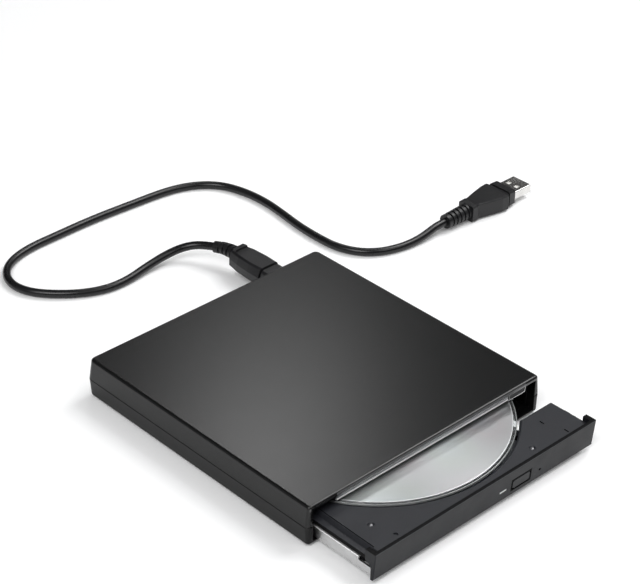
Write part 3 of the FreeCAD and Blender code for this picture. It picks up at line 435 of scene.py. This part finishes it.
FINISH = {
    "case": ["top_cover"],
    "base": ["bottom_cover"],
    "tray": ["tray"],
    "bezel": ["front_bezel"],
    "button": ["eject_button"],
    "rubber": ["rubber_feet"],
    "sheet": ["tray_bottom_plate", "usb_socket", "latch_catch", "rod_clips"],
    "cover": ["drive_top_cover"],
    "pan": ["drive_chassis"],
    "pin": ["tray_screws"],
    "rail": ["slide_rail_left", "slide_rail_right"],
    "screw": ["case_screws", "drive_screws", "guide_rods", "lead_screw", "latch_lever", "latch_post",
              "board_standoffs"],
    "guide": ["rail_guide_left", "rail_guide_right"],
    "pcb": ["main_board", "bridge_board", "switch_board"],
    "nylon": ["board_posts", "board_connector", "usb_socket_tongue"],
    "motor": ["spindle_motor", "feed_motor", "eject_solenoid"],
    "hub": ["turntable_hub"],
    "ball": ["clamp_balls"],
    "sled": ["laser_sled"],
    "lens": ["objective_lens"],
    "window": ["led_window"],
    "plug": ["drive_plug_grip", "drive_plug_relief", "host_plug_relief", "host_plug_grip"],
    "shell": ["drive_plug_shell", "host_plug_shell"],
    "tongue": ["host_plug_tongue"],
    "jacket": ["usb_cord"],
}
for key, names in FINISH.items():
    for name in names:
        o = NODES[name]
        o.data.materials.clear()
        o.data.materials.append(M[key])


# ------------------------------------------------------------------ mesh helpers
def obj_from(name, verts, faces, mat=None, smooth=True):
    me = bpy.data.meshes.new(name)
    me.from_pydata([tuple(c * MM for c in v) for v in verts], [], faces)
    me.validate()
    bm = bmesh.new()
    bm.from_mesh(me)
    bmesh.ops.recalc_face_normals(bm, faces=bm.faces)
    bm.to_mesh(me)
    bm.free()
    o = bpy.data.objects.new(name, me)
    SC.collection.objects.link(o)
    if mat:
        me.materials.append(mat)
    if smooth:
        me.polygons.foreach_set("use_smooth", [True] * len(me.polygons))
    return o


def lathe(name, prof, centre, n=192, mats=None):
    """prof: (r, z, material index of the band that starts here), a closed loop in millimetres about a Z axis."""
    vs, fs, mi = [], [], []
    k = len(prof)
    for i in range(n):
        a = 2 * math.pi * i / n
        for r, z, _ in prof:
            vs.append((centre[0] + r * math.cos(a), centre[1] + r * math.sin(a), z))
    for i in range(n):
        j = (i + 1) % n
        for p in range(k):
            q = (p + 1) % k
            fs.append((i * k + p, i * k + q, j * k + q, j * k + p))
            mi.append(prof[p][2])
    o = obj_from(name, vs, fs)
    for mt in mats or []:
        o.data.materials.append(mt)
    o.data.polygons.foreach_set("material_index", mi)
    return o


# ------------------------------------------------------------------ the lead
ROUTE = [(43.6, 131.4, 9.3), (40.8, 138.3, 8.6), (34.9, 143.9, 7.2), (25.6, 146.6, 5.2), (13.6, 146.6, 3.3),
         (2.0, 145.0, 2.2), (-9.8, 145.2, 2.05), (-21.4, 150.0, 2.05), (-32.2, 158.9, 2.05), (-39.4, 168.4, 2.05),
         (-41.2, 178.8, 2.05), (-37.4, 188.8, 2.05), (-28.4, 196.0, 2.05), (-15.8, 199.5, 2.05), (0.0, 200.0, 2.05),
         (24.0, 200.6, 2.05), (48.0, 199.2, 2.05), (68.8, 197.9, 2.05), (82.5, 193.5, 2.05), (92.7, 184.4, 2.05),
         (97.2, 170.8, 2.05), (98.2, 155.8, 2.05), (96.6, 141.7, 2.05), (94.5, 127.6, 2.05), (93.9, 113.8, 2.05),
         (94.4, 101.7, 2.05), (98.6, 91.0, 2.05), (106.6, 83.6, 2.05), (117.0, 79.9, 2.05), (126.6, 78.8, 2.35),
         (134.2, 78.7, 3.5), (141.0, 79.0, 4.9), (147.2, 79.0, 4.9)]
cu = bpy.data.curves.new("lead", "CURVE")
cu.dimensions = "3D"
sp = cu.splines.new("NURBS")
sp.points.add(len(ROUTE) - 1)
for p, c in zip(sp.points, ROUTE):
    p.co = (c[0] * MM, c[1] * MM, c[2] * MM, 1.0)
sp.order_u = 3
sp.use_endpoint_u = True
sp.resolution_u = 10
cu.bevel_depth = 0.002
cu.bevel_resolution = 6
cu.use_fill_caps = True
lead = bpy.data.objects.new("lead", cu)
SC.collection.objects.link(lead)
cu.materials.append(M["jacket"])
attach(lead, "case")
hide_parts("usb_cord")


# ------------------------------------------------------------------ the disc
def disc_mirror():
    k = Mat("disc_mirror", Metallic=0.9, Anisotropic=0.7, Anisotropic_Rotation=0.25, Coat_Weight=0.2,
            Coat_Roughness=0.08)
    x, y, z = k.sep(k.co(loc=(-0.6, 19.04, 0)))
    ang = k.math("ARCTAN2", y, x)
    rad = k.math("SQRT", k.math("ADD", k.math("MULTIPLY", x, x), k.math("MULTIPLY", y, y)))
    # data zone and mirror-like lead-in; the faint colour fans are painted reflection, standing in for the diffraction
    # colours of a pressed disc
    fan = k.math("SINE", k.math("MULTIPLY", ang, 6.0))
    fan2 = k.math("SINE", k.math("ADD", k.math("MULTIPLY", ang, 4.0), k.math("MULTIPLY", rad, 0.12)))
    t = k.rng(k.math("ADD", fan, fan2), 0, 1, -2, 2)
    painted_rainbow_tint = k.ramp(t, [(0.0, (0.645, 0.685, 0.695)), (0.3, (0.65, 0.685, 0.67)), (0.55, (0.68, 0.69, 0.70)),
                      (0.78, (0.69, 0.67, 0.685)), (1.0, (0.65, 0.67, 0.70))])
    ring = k.rng(rad, 0, 1, 23.4, 23.6)
    col = k.mix(ring, (0.56, 0.56, 0.58), painted_rainbow_tint)
    # painted highlight: the metal zone's outer band is coloured near-white and made rougher
    rim = k.rng(rad, 0, 1, 58.0, 58.1)
    k.colour(k.mix(rim, col, (0.93, 0.94, 0.95)))
    k.rough(k.math("ADD", k.rng(k.noise(0.03, 1), 0.275, 0.285, 0.3, 0.7), k.math("MULTIPLY", rim, 0.3)))
    tg = k.n("ShaderNodeTangent", direction_type="RADIAL", axis="Z")
    k.l(tg.outputs["Tangent"], k.b.inputs["Tangent"])
    return k.done()


def disc_clear():
    k = Mat("disc_clear", Transmission_Weight=0.97, IOR=1.5, Specular_IOR_Level=0.25)
    k.colour(k.ramp(k.noise(0.2, 2), [(0.3, (0.80, 0.83, 0.84)), (0.7, (0.88, 0.90, 0.90))]))
    k.rough(k.rng(k.noise(1.5, 2), 0.03, 0.08))
    return k.done()


def disc_edge():
    """The outermost millimetre: a grey diffuse share in its colour is painted glow, standing in for the light the
    clear plastic gathers.
    """
    k = Mat("disc_edge", Transmission_Weight=0.55, IOR=1.55)
    k.colour(k.ramp(k.noise(0.25, 3), [(0.3, (0.44, 0.46, 0.46)), (0.7, (0.54, 0.56, 0.56))]))
    k.rough(k.rng(k.noise(1.2, 2), 0.10, 0.2))
    return k.done()


DX, DY, DZ, DT = 0.6, -19.04, 12.0, 1.2
zt, zb = DZ + DT, DZ
MIR, CLR, EDG = 0, 1, 2
prof = [(7.5, zb + 0.12, CLR), (7.5, zt - 0.12, CLR), (7.62, zt, CLR), (16.6, zt, CLR), (16.8, zt - 0.16, CLR),
        (17.5, zt - 0.16, CLR), (17.7, zt, CLR), (22.2, zt, MIR), (23.2, zt, MIR), (30, zt, MIR), (45, zt, MIR),
        (58.4, zt, CLR), (59.55, zt, EDG), (59.7, zt, EDG), (59.93, zt - 0.08, EDG), (60.0, zt - 0.3, EDG),
        (60.0, zb + 0.3, EDG), (59.93, zb + 0.08, EDG), (59.7, zb, CLR), (58.4, zb, MIR), (40, zb, MIR),
        (22.2, zb, CLR), (17.7, zb, CLR), (17.5, zb - 0.0, CLR), (16.6, zb, CLR), (7.62, zb, CLR)]
disc = lathe("disc", prof, (DX, DY), 256, [disc_mirror(), disc_clear(), disc_edge()])
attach(disc, "turntable")
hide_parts("optical_disc")

# ------------------------------------------------------------------ floor, light, view
def floor_material():
    k = Mat("floor", Specular_IOR_Level=0.15, Emission_Color=(1.0, 1.0, 1.0), Emission_Strength=0.1)
    k.colour(k.ramp(k.noise(0.004, 3), [(0.3, (0.93, 0.935, 0.94)), (0.7, (0.95, 0.95, 0.955))]))
    k.rough(k.rng(k.noise(0.02, 3), 0.75, 0.9))
    return k.done()


fv = [(-3000, -3000, 0), (3000, -3000, 0), (3000, 3000, 0), (-3000, 3000, 0)]
floor = obj_from("floor", fv, [(0, 1, 2, 3)], floor_material(), smooth=False)


def area(name, az, el, dist, size, power, target=(0, 0, 0.01), colour=(1, 1, 1), size_y=None):
    """A soft box seen from the target at azimuth az (0 = +Y, 90 = +X) and elevation el, in degrees."""
    a, e = math.radians(az), math.radians(el)
    d = Vector((math.sin(a) * math.cos(e), math.cos(a) * math.cos(e), math.sin(e)))
    lt = bpy.data.lights.new(name, "AREA")
    lt.shape = "RECTANGLE"
    lt.size = size
    lt.size_y = size_y or size
    lt.energy = power
    lt.color = colour
    o = bpy.data.objects.new(name, lt)
    o.location = Vector(target) + d * dist
    o.rotation_euler = (-d).to_track_quat("-Z", "Y").to_euler()
    SC.collection.objects.link(o)
    return o


area("back_box_a", 39, 39, 1.6, 0.16, 0.14)
area("back_box_b", 39, 42, 1.6, 0.16, 0.66)
area("back_box_c", 42, 39, 1.6, 0.16, 0.25)
area("back_box_d", 42, 34.5, 1.6, 0.16, 0.13)
area("back_top", 50, 62, 1.6, 0.32, 0.95)
area("left_box", -110, 50, 1.6, 0.9, 14.5)
area("left_low", -60, 20, 1.6, 0.9, 0.85)
area("right_box", 92, 52, 1.6, 0.8, 14.5)
area("front_right_box", 165, 55, 1.6, 0.8, 4.9)

w = bpy.data.worlds.new("world")
SC.world = w
w.use_nodes = True
wt = w.node_tree
bg = wt.nodes["Background"]
tc = wt.nodes.new("ShaderNodeTexCoord")
sepw = wt.nodes.new("ShaderNodeSeparateXYZ")
wt.links.new(tc.outputs["Generated"], sepw.inputs["Vector"])
rp = wt.nodes.new("ShaderNodeValToRGB")
e = rp.color_ramp.elements
e[0].position, e[0].color = 0.35, (0.03, 0.03, 0.03, 1)
e[1].position, e[1].color = 0.95, (0.12, 0.12, 0.12, 1)
wt.links.new(sepw.outputs["Z"], rp.inputs["Fac"])
wt.links.new(rp.outputs["Color"], bg.inputs["Color"])
bg.inputs["Strength"].default_value = 1.0

SC.view_settings.view_transform = "Standard"
SC.view_settings.look = "None"
